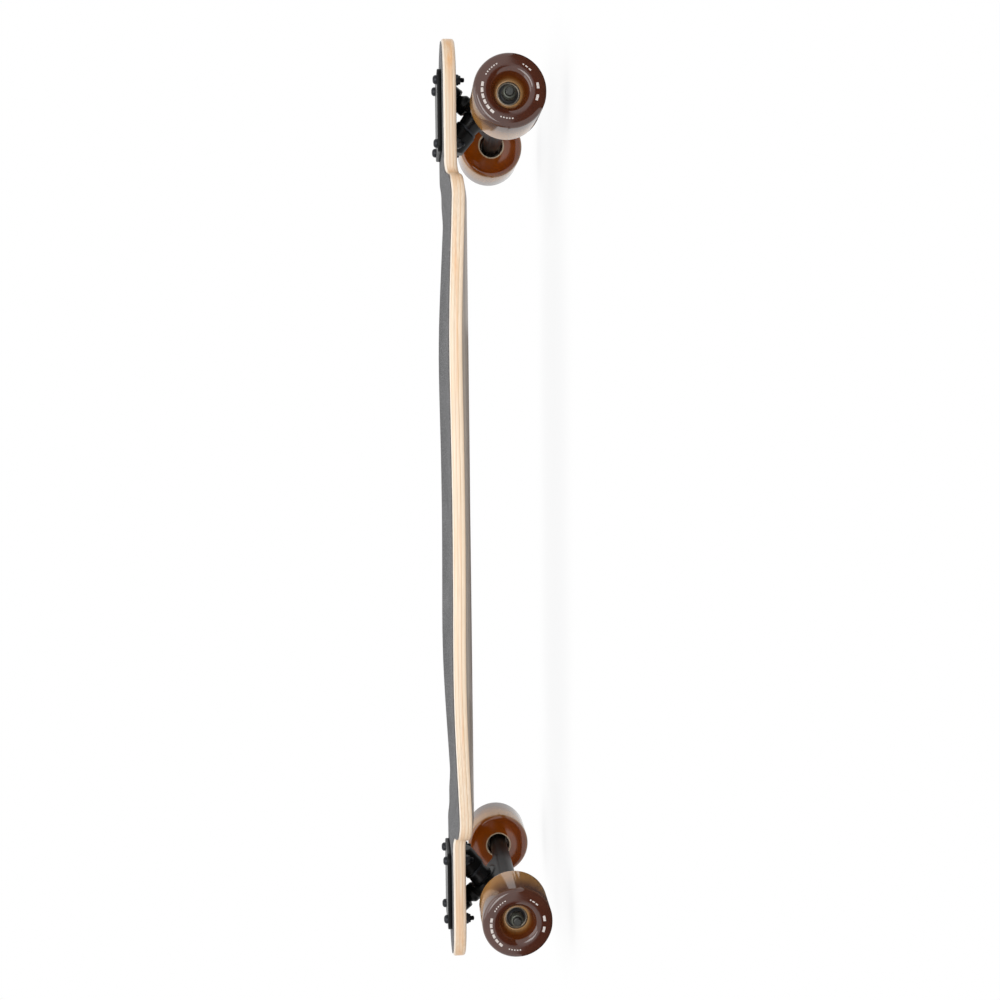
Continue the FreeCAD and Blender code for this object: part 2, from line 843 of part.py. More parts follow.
def bearing_pair(name, pieces):
    """Pieces of the inner bearing, repeated in the outer one, facing the other way."""
    middle = Vector(0, 0, size(BEARING_SPAN + " / 2"))
    outer = [mirror("%s_outer%d" % (name, n), piece, AXIS_Z, middle) for n, piece in enumerate(pieces)]
    return group(name, pieces + outer)


def grooved_race(name, diameter, bore):
    """A bearing race with the round groove that the balls run in."""
    ring = tube(name + "_ring", diameter, bore, "0", "bearing_width")
    groove = doc.addObject("Part::Torus", name + "_groove")
    groove.setExpression("Radius1", bound("ball_circle_diameter / 2"))
    groove.setExpression("Radius2", bound("ball_diameter / 2 + running_clearance"))
    at(groove, moved(0, 0, size("bearing_width / 2")))
    return bearing_pair(name, [cut(name + "_race", ring, groove)])


def ring_of_balls(name, diameter):
    balls = []
    for number in range(int(size("ball_count"))):
        ball = doc.addObject("Part::Sphere", "%s%d" % (name, number))
        ball.setExpression("Radius", bound("(%s) / 2" % diameter))
        spin = turned(AXIS_Z, 360 * number / size("ball_count"))
        balls.append(at(ball, spin * moved(size("ball_circle_diameter / 2"), 0, size("bearing_width / 2"))))
    return balls


def bearing_balls(name):
    return bearing_pair(name, ring_of_balls(name + "_ball", "ball_diameter"))


def bearing_retainers(name):
    """Crown that keeps the balls apart: a ring behind them with fingers between them."""
    room = "ball_diameter / 2 + ball_room"
    ring = tube(
        name + "_ring",
        "(ball_circle_diameter + retainer_wall)",
        "(ball_circle_diameter - retainer_wall)",
        "bearing_width / 2 - retainer_fingers",
        "retainer_fingers + %s + retainer_back" % room,
    )
    pockets = fuse(name + "_pockets", ring_of_balls(name + "_pocket", "2 * (%s)" % room))
    return bearing_pair(name, [cut(name + "_crown", ring, pockets)])


def bearing_shields(name):
    """Thin covers on both faces of each bearing, held by its outer race."""
    bore = "(inner_race_diameter + 2 * shield_gap)"
    starts = ("shield_inset", "bearing_width - shield_inset - shield_thickness")
    covers = [
        tube("%s%d" % (name, n), "outer_race_bore", bore, start, "shield_thickness")
        for n, start in enumerate(starts)
    ]
    return bearing_pair(name, covers)


for end, truck in TRUCKS.items():
    for hand, spin in (("left", 0), ("right", 180)):
        # The rear truck is turned round, so its own left is the board's right.
        turn = spin if end == "front" else 180 - spin
        place = truck * AXLE * turned(AXIS_X, turn) * moved(0, 0, size(INNER_BEARING))
        made = [
            (wheel, "wheel", ()),
            (grooved_race, "outer_races", ("bearing_diameter", "outer_race_bore")),
            (grooved_race, "inner_races", ("inner_race_diameter", LOOSE_BORE)),
            (bearing_balls, "bearing_balls", ()),
            (bearing_retainers, "bearing_retainers", ()),
            (bearing_shields, "bearing_shields", ()),
            (tube, "bearing_spacer", ("spacer_diameter", LOOSE_BORE, "bearing_width", "bearing_gap")),
        ]
        for maker, piece, options in made:
            node = "%s_%s_%s" % (end, hand, piece)
            keep(maker(node, *options), node, place)


# Check every object, then write each sub-part

doc.recompute()
for thing in doc.Objects:
    if "Invalid" in thing.State or "Error" in thing.State:
        raise RuntimeError("%s failed: %s" % (thing.Name, thing.State))
os.makedirs("parts", exist_ok=True)
for piece in parts:
    shape = piece.Shape
    if shape.isNull() or not shape.isValid() or not shape.Solids:
        raise RuntimeError("%s has no valid solid" % piece.Label)
    shape.exportStep("parts/%s.step" % piece.Label)
print(len(parts), "sub-parts written")
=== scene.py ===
import math

import bpy
from mathutils import Matrix, Vector


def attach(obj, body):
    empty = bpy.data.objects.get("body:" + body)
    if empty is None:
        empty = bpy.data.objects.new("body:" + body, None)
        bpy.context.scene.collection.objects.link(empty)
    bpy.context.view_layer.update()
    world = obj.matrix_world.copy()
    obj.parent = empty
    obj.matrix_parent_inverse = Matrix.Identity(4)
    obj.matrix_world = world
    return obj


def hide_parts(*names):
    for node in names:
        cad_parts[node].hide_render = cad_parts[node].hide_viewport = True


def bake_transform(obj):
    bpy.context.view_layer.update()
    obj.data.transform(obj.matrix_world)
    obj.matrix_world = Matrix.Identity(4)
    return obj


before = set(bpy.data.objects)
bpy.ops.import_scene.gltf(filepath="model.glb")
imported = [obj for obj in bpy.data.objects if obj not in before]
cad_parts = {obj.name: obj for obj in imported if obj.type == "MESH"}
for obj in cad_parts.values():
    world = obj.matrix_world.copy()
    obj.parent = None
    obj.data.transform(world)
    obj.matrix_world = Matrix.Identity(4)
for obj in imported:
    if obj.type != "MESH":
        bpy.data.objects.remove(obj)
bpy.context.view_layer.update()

# Deck
# Seven maple plies pressed over a mould into a dished platform with two raised ends, then sawn to shape,
# rounded along the rails and varnished. The plies show as pale bands round the edge, and the underside is
# stained brown.

MM = 0.001
WELD = 0.002 * MM
NECK_TOP = 0.0930
DECK_THICKNESS = 0.0131
PLATFORM_DROP = 0.0087
RAIL_RISE = 0.01125
LEVEL_HALF_WIDTH = 0.030
RAIL_HALF_WIDTH = 0.1215
BEND_START = 0.306
BEND_END = 0.350


def choose(piece):
    """Select one piece alone and make it active."""
    bpy.ops.object.select_all(action="DESELECT")
    piece.select_set(True)
    bpy.context.view_layer.objects.active = piece


def shade(piece, angle):
    """Shade a piece smooth, apart from edges that turn by more than so many degrees."""
    choose(piece)
    bpy.ops.object.shade_smooth_by_angle(angle=math.radians(angle))


def smooth_copy(node, name):
    """A copy of a solid with its loose triangles merged and its curves shaded smooth."""
    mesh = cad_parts[node].data.copy()
    mesh.materials.clear()
    piece = bpy.data.objects.new(name, mesh)
    bpy.context.collection.objects.link(piece)
    choose(piece)
    bpy.ops.mesh.customdata_custom_splitnormals_clear()
    bpy.ops.object.mode_set(mode="EDIT")
    bpy.ops.mesh.select_all(action="SELECT")
    bpy.ops.mesh.remove_doubles(threshold=WELD)
    bpy.ops.object.mode_set(mode="OBJECT")
    shade(piece, 30)
    return piece


def stands_for(piece, node, body):
    """Put a piece on the body that it moves with, in place of its solid."""
    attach(piece, body)
    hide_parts(node)


def srgb(code):
    """Linear colour of an sRGB hex value."""
    parts = [int(code[n:n + 2], 16) / 255 for n in (1, 3, 5)]
    return (*[c / 12.92 if c <= 0.04045 else ((c + 0.055) / 1.055) ** 2.4 for c in parts], 1.0)


def add(material, kind, inputs=None, stops=(), **settings):
    """Add a node with its settings, colour stops, plain values and links."""
    made = material.node_tree.nodes.new("ShaderNode" + kind)
    for name, value in settings.items():
        setattr(made, name, value)
    while stops and len(made.color_ramp.elements) < len(stops):
        made.color_ramp.elements.new(1.0)
    for number, (position, code) in enumerate(stops):
        made.color_ramp.elements[number].position = position
        made.color_ramp.elements[number].color = srgb(code)
    for name, value in (inputs or {}).items():
        if isinstance(value, bpy.types.NodeSocket):
            material.node_tree.links.new(value, made.inputs[name])
        else:
            made.inputs[name].default_value = value
    return made


def blank_material(name):
    """A material without nodes."""
    material = bpy.data.materials.new(name)
    material.use_nodes = True
    material.node_tree.nodes.clear()
    return material


# Rotary-cut maple: pale, fine-fibred plies with darker cross plies and glue lines between them, tan where
# the saw crosses the grain, under a thin satin varnish. The depth below the dished top picks the ply.
maple = blank_material("varnished_maple_plies")
spot = add(maple, "TexCoord")
place = add(maple, "SeparateXYZ", {0: spot.outputs["Object"]})
facing = add(maple, "SeparateXYZ", {0: spot.outputs["Normal"]})
along = add(maple, "Math", {0: place.outputs["X"]}, operation="ABSOLUTE")
bend = add(
    maple,
    "MapRange",
    {
        "Value": along.outputs[0],
        "From Min": BEND_START,
        "From Max": BEND_END,
        "To Min": 1.0,
        "To Max": 0.0,
    },
    interpolation_type="SMOOTHSTEP",
)
across = add(maple, "Math", {0: place.outputs["Y"]}, operation="ABSOLUTE")
rail = add(
    maple,
    "MapRange",
    {"Value": across.outputs[0], "From Min": LEVEL_HALF_WIDTH, "From Max": RAIL_HALF_WIDTH},
)
climb = add(maple, "Math", {0: rail.outputs[0], 1: 3.0}, operation="POWER")
dish = add(
    maple,
    "Math",
    {0: climb.outputs[0], 1: RAIL_RISE, 2: -PLATFORM_DROP},
    operation="MULTIPLY_ADD",
)
top = add(maple, "Math", {0: dish.outputs[0], 1: bend.outputs[0], 2: NECK_TOP}, operation="MULTIPLY_ADD")
depth = add(maple, "Math", {0: top.outputs[0], 1: place.outputs["Z"]}, operation="SUBTRACT")
share = add(maple, "Math", {0: depth.outputs[0], 1: DECK_THICKNESS}, operation="DIVIDE")
# Fibres run along the board: 40 mm long, under 2 mm wide and half a millimetre thick.
stretch = add(maple, "Mapping", {"Vector": spot.outputs["Object"], "Scale": (25, 700, 2000)})
fibres = add(maple, "TexNoise", {"Vector": stretch.outputs[0], "Scale": 1.0, "Detail": 4.0})
wander = add(maple, "Math", {0: fibres.outputs[0], 1: 0.05, 2: -0.025}, operation="MULTIPLY_ADD")
ply = add(maple, "Math", {0: share.outputs[0], 1: wander.outputs[0]}, operation="ADD")
plies = add(
    maple,
    "ValToRGB",
    {0: ply.outputs[0]},
    stops=[
        (0.0, "#FEF7ED"),
        (0.15, "#FDF1E1"),
        (0.20, "#E6C8A6"),
        (0.25, "#FAE8D0"),
        (0.40, "#FBEAD3"),
        (0.45, "#EED0AE"),
        (0.50, "#FBEBD8"),
        (0.66, "#F9E3C8"),
        (0.71, "#E2BE95"),
        (0.76, "#FBE9D3"),
        (0.94, "#F8E2C8"),
        (1.0, "#DEC0A0"),
    ],
)
# Patches of orange heartwood, a hand long, come and go in the middle plies and are strongest near the tips.
patch = add(maple, "Mapping", {"Vector": spot.outputs["Object"], "Scale": (9, 60, 160)})
heart = add(maple, "TexNoise", {"Vector": patch.outputs[0], "Scale": 1.0, "Detail": 3.0})
tip = add(
    maple,
    "MapRange",
    {"Value": along.outputs[0], "From Min": 0.30, "From Max": 0.48, "To Max": 0.22},
)
warmth = add(maple, "Math", {0: heart.outputs[0], 1: tip.outputs[0]}, operation="ADD")
orange = add(
    maple,
    "MapRange",
    {"Value": warmth.outputs[0], "From Min": 0.50, "From Max": 0.80, "To Max": 0.85},
)
off_core = add(maple, "Math", {0: ply.outputs[0], 1: 0.5}, operation="SUBTRACT")
from_core = add(maple, "Math", {0: off_core.outputs[0]}, operation="ABSOLUTE")
core = add(
    maple,
    "MapRange",
    {"Value": from_core.outputs[0], "From Min": 0.12, "From Max": 0.40, "To Min": 1.0, "To Max": 0.0},
)
heartwood = add(maple, "Math", {0: orange.outputs[0], 1: core.outputs[0]}, operation="MULTIPLY")
wood = add(
    maple,
    "Mix",
    {0: heartwood.outputs[0], 6: plies.outputs[0], 7: srgb("#F5BE84")},
    data_type="RGBA",
)
tone = add(maple, "ValToRGB", {0: fibres.outputs[0]}, stops=[(0.3, "#E9E2DA"), (0.7, "#FFFFFF")])
grained = add(
    maple,
    "Mix",
    {0: 0.9, 6: wood.outputs[2], 7: tone.outputs[0]},
    data_type="RGBA",
    blend_type="MULTIPLY",
)
end_on = add(maple, "Math", {0: facing.outputs["X"]}, operation="ABSOLUTE")
end_grain = add(
    maple,
    "MapRange",
    {"Value": end_on.outputs[0], "From Min": 0.2, "From Max": 0.9, "To Max": 0.55},
)
sawn = add(
    maple,
    "Mix",
    {0: end_grain.outputs[0], 6: grained.outputs[2], 7: srgb("#DDAF78")},
    data_type="RGBA",
)
# The underside carries a rubbed brown stain that keeps the grain visible.
streak = add(maple, "Mapping", {"Vector": spot.outputs["Object"], "Scale": (6, 130, 130)})
figure = add(maple, "TexNoise", {"Vector": streak.outputs[0], "Scale": 1.0, "Detail": 6.0})
stain = add(
    maple,
    "ValToRGB",
    {0: figure.outputs[0]},
    stops=[(0.3, "#5E4D3E"), (0.5, "#7A6755"), (0.72, "#93806B")],
)
below = add(
    maple,
    "MapRange",
    {"Value": facing.outputs["Z"], "From Min": -0.84, "From Max": -0.92},
    interpolation_type="SMOOTHSTEP",
)
colour = add(
    maple,
    "Mix",
    {0: below.outputs[0], 6: sawn.outputs[2], 7: stain.outputs[0]},
    data_type="RGBA",
)
sheen = add(maple, "MapRange", {"Value": fibres.outputs[0], "To Min": 0.34, "To Max": 0.52})
relief = add(maple, "Bump", {"Strength": 0.12, "Distance": 0.0002, "Height": fibres.outputs[0]})
surface = add(
    maple,
    "BsdfPrincipled",
    {
        "Base Color": colour.outputs[2],
        "Roughness": sheen.outputs[0],
        "Normal": relief.outputs[0],
        "IOR": 1.5,
        "Coat Weight": 0.25,
        "Coat Roughness": 0.25,
    },
)
add(maple, "OutputMaterial", {"Surface": surface.outputs[0]})

deck = smooth_copy("deck", "pressed_deck")
deck.data.materials.append(maple)
stands_for(deck, "deck", "board")

# Grip sheet
# Silicon-carbide grit in a grey resin, laid over the top of the deck to within a few millimetres of its
# rails and cut round the truck openings. The grit is about half a millimetre across.

# Matt grey grit: sharp grains catch the light one by one. Drawn 0.9 mm coarse so that it shows.
grit = blank_material("grey_carbide_grit")
spot = add(grit, "TexCoord")
grains = add(grit, "TexNoise", {"Vector": spot.outputs["Object"], "Scale": 1100, "Detail": 2.0})
patches = add(grit, "TexNoise", {"Vector": spot.outputs["Object"], "Scale": 30, "Detail": 3.0})
mixed = add(grit, "Math", {0: patches.outputs[0], 1: 0.16, 2: -0.08}, operation="MULTIPLY_ADD")
speckle = add(grit, "Math", {0: grains.outputs[0], 1: mixed.outputs[0]}, operation="ADD")
colour = add(
    grit,
    "ValToRGB",
    {0: speckle.outputs[0]},
    stops=[(0.28, "#444445"), (0.5, "#676768"), (0.72, "#989899")],
)
relief = add(grit, "Bump", {"Strength": 0.6, "Distance": 0.0004, "Height": grains.outputs[0]})
surface = add(
    grit,
    "BsdfPrincipled",
    {"Base Color": colour.outputs[0], "Roughness": 0.9, "Normal": relief.outputs[0], "IOR": 1.5},
)
add(grit, "OutputMaterial", {"Surface": surface.outputs[0]})

grip = smooth_copy("grip_sheet", "grip_layer")
grip.data.materials.append(grit)
stands_for(grip, "grip_sheet", "board")

# Mounting bolts
# Four button-head socket bolts on each truck, blackened steel, dropped through the plate and the deck.
# The heads stand on the plate, and the threaded ends show below the nuts.

TRUCK_REACH = 0.4055
TRUCKS = {
    "front": Matrix.Translation((TRUCK_REACH, 0, NECK_TOP)),
    "rear": Matrix.Rotation(math.pi, 4, "Z") @ Matrix.Translation((TRUCK_REACH, 0, NECK_TOP)),
}
BOLT_ALONG = 31.75 * MM
BOLT_ACROSS = 20.65 * MM
BOLT_SPOTS = [(x * BOLT_ALONG, y * BOLT_ACROSS) for x in (-1, 1) for y in (-1, 1)]
PLATE_TOP = 5.15 * MM
BOLT_RADIUS = 2.4
BOLT_END = -28.05


def turned(name, outline, steps=64):
    """Turn an outline of (radius, height) points, in millimetres, about Z as on a lathe."""
    bpy.ops.object.select_all(action="DESELECT")
    bpy.ops.mesh.primitive_plane_add(size=MM)
    piece = bpy.context.object
    piece.name = name
    bpy.ops.object.mode_set(mode="EDIT")
    bpy.ops.mesh.select_all(action="SELECT")
    bpy.ops.mesh.merge(type="CENTER")
    here = Vector((0, 0, 0))
    for number, (radius, height) in enumerate(outline):
        there = Vector((radius, 0, height)) * MM
        if number == 0:
            bpy.ops.transform.translate(value=there)
        else:
            bpy.ops.mesh.extrude_region_move(TRANSFORM_OT_translate={"value": there - here})
        here = there
    bpy.ops.mesh.select_all(action="SELECT")
    bpy.ops.mesh.spin(steps=steps, angle=math.tau, center=(0, 0, 0), axis=(0, 0, 1))
    bpy.ops.mesh.select_all(action="SELECT")
    bpy.ops.mesh.remove_doubles(threshold=WELD)
    bpy.ops.mesh.normals_make_consistent(inside=False)
    bpy.ops.object.mode_set(mode="OBJECT")
    return piece


def combine(piece, tool, operation):
    """Cut a piece with a tool, or keep what both share, and remove the tool."""
    choose(piece)
    boolean = piece.modifiers.new("shaping", "BOOLEAN")
    boolean.operation = operation
    boolean.solver = "EXACT"
    boolean.object = tool
    bpy.ops.object.modifier_apply(modifier=boolean.name)
    bpy.data.objects.remove(tool)


def hexagon(width, bottom, top):
    """A six-sided prism, given its width across the flats, in millimetres."""
    bpy.ops.object.select_all(action="DESELECT")
    bpy.ops.mesh.primitive_cylinder_add(
        vertices=6,
        radius=width / math.sqrt(3) * MM,
        depth=(top - bottom) * MM,
        location=(0, 0, (top + bottom) / 2 * MM),
    )
    bpy.ops.object.transform_apply(location=True, rotation=True, scale=True)
    return bpy.context.object


def thread(radius, start, end, pitch, depth):
    """Ridges of a screw thread in an outline, from one height to another."""
    count = round(abs(end - start) / pitch)
    step = (end - start) / count
    ridges = []
    for number in range(count):
        ridges.append((radius, start + step * (number + 0.1)))
        ridges.append((radius - depth, start + step * (number + 0.6)))
    return ridges + [(radius, end)]


def copy_to(master, name, place):
    """A copy of a finished piece with its own mesh, at its place."""
    piece = bpy.data.objects.new(name, master.data.copy())
    bpy.context.collection.objects.link(piece)
    piece.data.transform(place)
    return piece


def joined(pieces, name):
    """One or more like pieces as one object."""
    choose(pieces[0])
    for piece in pieces:
        piece.select_set(True)
    if len(pieces) > 1:
        bpy.ops.object.join()
    bpy.context.object.name = name
    return bpy.context.object


def fit_to_trucks(master, name, node, seats, leans=False):
    """Put copies of a finished piece at its seats on both trucks, and remove the original."""
    for end, truck in TRUCKS.items():
        copies = [copy_to(master, name, truck @ seat) for seat in seats]
        piece = joined(copies, "%s_%s" % (end, name))
        body = end + "_hanger_set" if leans else "board"
        stands_for(piece, "%s_%s" % (end, node), body)
    bpy.data.objects.remove(master)


def mottled(name, scale, detail, stops, roughness, finish):
    """A surface whose colour varies with one noise, and its roughness too where given as a range."""
    material = blank_material(name)
    spot = add(material, "TexCoord")
    noise = add(
        material,
        "TexNoise",
        {"Vector": spot.outputs["Object"], "Scale": scale, "Detail": detail},
    )
    colour = add(material, "ValToRGB", {0: noise.outputs[0]}, stops=stops)
    if isinstance(roughness, tuple):
        low, high = roughness
        gloss = add(material, "MapRange", {"Value": noise.outputs[0], "To Min": low, "To Max": high})
        roughness = gloss.outputs[0]
    surface = add(
        material,
        "BsdfPrincipled",
        {"Base Color": colour.outputs[0], "Roughness": roughness, **finish},
    )
    add(material, "OutputMaterial", {"Surface": surface.outputs[0]})
    return material


# Black-oxide steel: dark and faintly metallic, with a mottled oil sheen.
oxide = mottled(
    "black_oxide_steel",
    450,
    4.0,
    [(0.3, "#1C1D20"), (0.7, "#2E3035")],
    (0.28, 0.5),
    {"Metallic": 0.6},
)

bolt = turned(
    "mounting_bolt",
    [(0, 4.0), (2.0, 4.0), (3.2, 3.5), (4.05, 2.6), (4.45, 1.6), (4.5, 0.25), (4.3, 0), (BOLT_RADIUS, 0)]
    + thread(BOLT_RADIUS, -19.0, -27.2, 0.8, 0.3)
    + [(1.4, BOLT_END), (0, BOLT_END)],
    48,
)
combine(bolt, hexagon(3.2, 2.2, 5.0), "DIFFERENCE")
shade(bolt, 32)
bolt.data.materials.append(oxide)
on_plate = [Matrix.Translation((x, y, PLATE_TOP)) for x, y in BOLT_SPOTS]
fit_to_trucks(bolt, "button_bolts", "mounting_bolts", on_plate)

# Mounting nuts
# Small hexagon lock nuts under the deck, black steel with a rounded collar. Each is drawn up against the
# stained underside.

HALF_TURN = Matrix.Rotation(math.pi, 4, "X")


def lock_nut(name, width, height, collar, bore):
    """A hexagon nut with turned corners and a rounded collar, standing on Z = 0, in millimetres."""
    corner = width / math.sqrt(3) + 0.05
    chamfer = 0.12 * width
    body_top = height - collar
    ring_foot = body_top - 0.2
    body = hexagon(width, 0, body_top)
    turning = [
        (0, 0),
        (width * 0.47, 0),
        (corner, chamfer),
        (corner, body_top - chamfer),
        (width * 0.48, body_top),
        (0, body_top),
    ]
    combine(body, turned("corner_turning", turning), "INTERSECT")
    ring = [
        (bore / 2, ring_foot),
        (width * 0.46, ring_foot),
        (width * 0.46, height - 0.9),
        (width * 0.44, height - 0.3),
        (width * 0.40, height),
        (bore / 2 + 0.5, height),
        (bore / 2, height - 0.4),
        (bore / 2, ring_foot),
    ]
    nut = joined([body, turned("collar", ring)], name)
    shade(nut, 32)
    return nut


nut = lock_nut("mounting_nut", 9.5, 6, 1.8, 4.8)
nut.data.materials.append(oxide)
under_deck = [Matrix.Translation((x, y, -DECK_THICKNESS)) @ HALF_TURN for x, y in BOLT_SPOTS]
fit_to_trucks(nut, "deck_nuts", "mounting_nuts", under_deck)

# Baseplates
# Each truck's baseplate is one aluminium casting: a plate on top of the deck, with the kingpin's boss and
# the pivot's housing reaching down through the slot. Its edges are soft from the mould and it is powder
# coated black.

CAST_GRID = 0.8 * MM

# Satin black powder coat over a cast skin: a slight orange peel breaks up the highlights.
powder_coat = blank_material("black_powder_coat")
spot = add(powder_coat, "TexCoord")
peel = add(powder_coat, "TexNoise", {"Vector": spot.outputs["Object"], "Scale": 650, "Detail": 2.0})
cloud = add(powder_coat, "TexNoise", {"Vector": spot.outputs["Object"], "Scale": 60, "Detail": 4.0})
colour = add(
    powder_coat,
    "ValToRGB",
    {0: cloud.outputs[0]},
    stops=[(0.3, "#0B0B0B"), (0.7, "#131313")],
)
gloss = add(powder_coat, "MapRange", {"Value": cloud.outputs[0], "To Min": 0.26, "To Max": 0.4})
relief = add(powder_coat, "Bump", {"Strength": 0.15, "Distance": 0.0003, "Height": peel.outputs[0]})
surface = add(
    powder_coat,
    "BsdfPrincipled",
    {
        "Base Color": colour.outputs[0],
        "Roughness": gloss.outputs[0],
        "Normal": relief.outputs[0],
        "Specular IOR Level": 0.14,
    },
)
add(powder_coat, "OutputMaterial", {"Surface": surface.outputs[0]})


def cast(node, name, passes):
    """A casting: the solid closed into one skin with soft edges and fillets where its parts meet."""
    piece = smooth_copy(node, name)
    skin = piece.modifiers.new("skin", "REMESH")
    skin.mode = "VOXEL"
    skin.voxel_size = CAST_GRID
    bpy.ops.object.modifier_apply(modifier=skin.name)
    soft = piece.modifiers.new("soft", "SMOOTH")
    soft.factor = 0.5
    soft.iterations = passes
    bpy.ops.object.modifier_apply(modifier=soft.name)
    bpy.ops.object.shade_smooth()
    piece.data.materials.append(powder_coat)
    return piece


for end in TRUCKS:
    plate = cast(end + "_baseplate", end + "_cast_baseplate", 5)
    stands_for(plate, end + "_baseplate", "board")

# Pivot cups
# A black nylon liner in each baseplate's housing, in which the hanger's pivot turns. Little of it shows
# between the two.

# Moulded nylon: dull black with a faint waxy sheen.
nylon = mottled(
    "moulded_black_nylon",
    380,
    3.0,
    [(0.3, "#161617"), (0.7, "#222223")],
    0.55,
    {"IOR": 1.53},
)

for end in TRUCKS:
    cup = smooth_copy(end + "_pivot_cup", end + "_pivot_liner")
    cup.data.materials.append(nylon)
    stands_for(cup, end + "_pivot_cup", "board")

# Kingpins
# A threaded steel pin pressed into each boss. It carries the bushings and points outwards and down, at 40
# degrees to the ground. Heights along it are measured from the middle of the hanger's ring.

KINGPIN = Matrix.Translation((0.7 * MM, 0, -36.9 * MM)) @ Matrix.Rotation(math.radians(130), 4, "Y")
PIN_RADIUS = 4.75
PIN_FOOT = -40
PIN_END = 29.2
STACK_END = 20
pin = turned(
    "kingpin",
    [(0, PIN_FOOT), (PIN_RADIUS, PIN_FOOT), (PIN_RADIUS, STACK_END - 1)]
    + thread(PIN_RADIUS, STACK_END, 28.0, 1.2, 0.5)
    + [(3.8, PIN_END), (0, PIN_END)],
    48,
)
shade(pin, 35)
pin.data.materials.append(oxide)
fit_to_trucks(pin, "threaded_kingpin", "kingpin", [KINGPIN])

# Kingpin nuts
# The large lock nut that holds each bushing stack together at the road end of its kingpin. Turning it sets
# how stiffly the truck leans.

nut = lock_nut("kingpin_nut", 14.3, 8, 2.2, 2 * PIN_RADIUS)
nut.data.materials.append(oxide)
road_end = Matrix.Translation((0, 0, STACK_END * MM))
fit_to_trucks(nut, "stack_nut", "kingpin_nut", [KINGPIN @ road_end])

# Cup washers
# A pressed steel cup over the outer end of each bushing, its lip turned towards the ring. It keeps the
# urethane from spreading when it is squeezed.

STACK_BORE = 4.9
WASHER_FLOOR = 1.5
WASHER_RIM = 3.1
BUSHING_ENDS = {"boardside": 10.5, "roadside": 8.75}


def soften(piece, width, segments):
    """Round the sharp edges by so many millimetres and shade the curves smooth."""
    choose(piece)
    bevel = piece.modifiers.new("rounding", "BEVEL")
    bevel.width = width * MM
    bevel.segments = segments
    bevel.limit_method = "ANGLE"
    bevel.angle_limit = math.radians(28)
    bpy.ops.object.modifier_apply(modifier=bevel.name)
    shade(piece, 35)


for side, radius in BUSHING_ENDS.items():
    lip = radius + 0.15
    rim = lip + 1.2
    washer = turned(
        side + "_washer",
        [
            (STACK_BORE, 0),
            (lip + 0.5, 0),
            (rim, 0.7),
            (rim, WASHER_RIM),
            (lip, WASHER_RIM),
            (lip, WASHER_FLOOR),
            (STACK_BORE, WASHER_FLOOR),
            (STACK_BORE, 0),
        ],
    )
    soften(washer, 0.25, 2)
    washer.data.materials.append(oxide)
    seat = KINGPIN @ road_end @ HALF_TURN
    if side == "boardside":
        seat = KINGPIN @ road_end.inverted()
    fit_to_trucks(washer, side + "_cup_washer", side + "_washer", [seat])

# Bushings
# Two poured urethane springs on each kingpin, either side of the hanger's ring: a barrel above and a cone
# below. On the real truck they give when the board leans; here each is a fixed shape, set in place at rest.

# Poured urethane, black, with the soft gloss of the mould.
urethane = mottled(
    "black_poured_urethane",
    120,
    3.0,
    [(0.3, "#101011"), (0.7, "#1A1A1B")],
    (0.22, 0.38),
    {"Specular IOR Level": 0.25},
)

RING_SEAT = 3.5
BUSHING_LENGTH = 15
BUSHING_SIDES = {
    "boardside": [(11.5, 0), (11.5, 3), (11.3, 6), (10.9, 9), (10.5, 13.1), (10.5, BUSHING_LENGTH)],
    "roadside": [(11.5, 0), (11.5, 4), (10.6, 7), (9.5, 10.5), (8.75, 13.1), (8.75, BUSHING_LENGTH)],
}
BORE_SIDE = [(STACK_BORE, height) for height in (BUSHING_LENGTH, 10, 5, 0)]
for side, profile in BUSHING_SIDES.items():
    spring = turned(side + "_bushing", [(STACK_BORE, 0)] + profile + BORE_SIDE, 72)
    soften(spring, 0.5, 3)
    spring.data.materials.append(urethane)
    down = 1 if side == "roadside" else -1
    turn = Matrix.Identity(4) if side == "roadside" else HALF_TURN
    for end, truck in TRUCKS.items():
        seat = truck @ KINGPIN @ Matrix.Translation((0, 0, down * RING_SEAT * MM)) @ turn
        piece = copy_to(spring, "%s_%s_spring" % (end, side), seat)
        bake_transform(piece)
        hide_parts("%s_%s_bushing" % (end, side))
    bpy.data.objects.remove(spring)

# Hangers
# Each hanger is an aluminium casting: the ring round the kingpin, the pivot that turns in the cup, and the
# cross bar that holds the axle. It has generous fillets and the baseplate's black coating.

for end in TRUCKS:
    hanger = cast(end + "_hanger", end + "_cast_hanger", 9)
    stands_for(hanger, end + "_hanger", end + "_hanger_set")

# Axles
# A steel rod through each hanger's bar, 8 mm thick, threaded at both ends for the lock nuts. It leans with
# the hanger, and the wheels turn round it. Lengths along it are measured from its middle.

# Bare drawn steel: grey, with fine lines along the rod.
steel = blank_material("drawn_steel")
spot = add(steel, "TexCoord")
lines = add(steel, "Mapping", {"Vector": spot.outputs["Object"], "Scale": (900, 60, 900)})
drawn = add(steel, "TexNoise", {"Vector": lines.outputs[0], "Scale": 1.0, "Detail": 3.0})
colour = add(steel, "ValToRGB", {0: drawn.outputs[0]}, stops=[(0.3, "#4A4B49"), (0.7, "#626360")])
gloss = add(steel, "MapRange", {"Value": drawn.outputs[0], "To Min": 0.32, "To Max": 0.5})
surface = add(
    steel,
    "BsdfPrincipled",
    {"Base Color": colour.outputs[0], "Roughness": gloss.outputs[0], "Metallic": 1.0},
)
add(steel, "OutputMaterial", {"Surface": surface.outputs[0]})

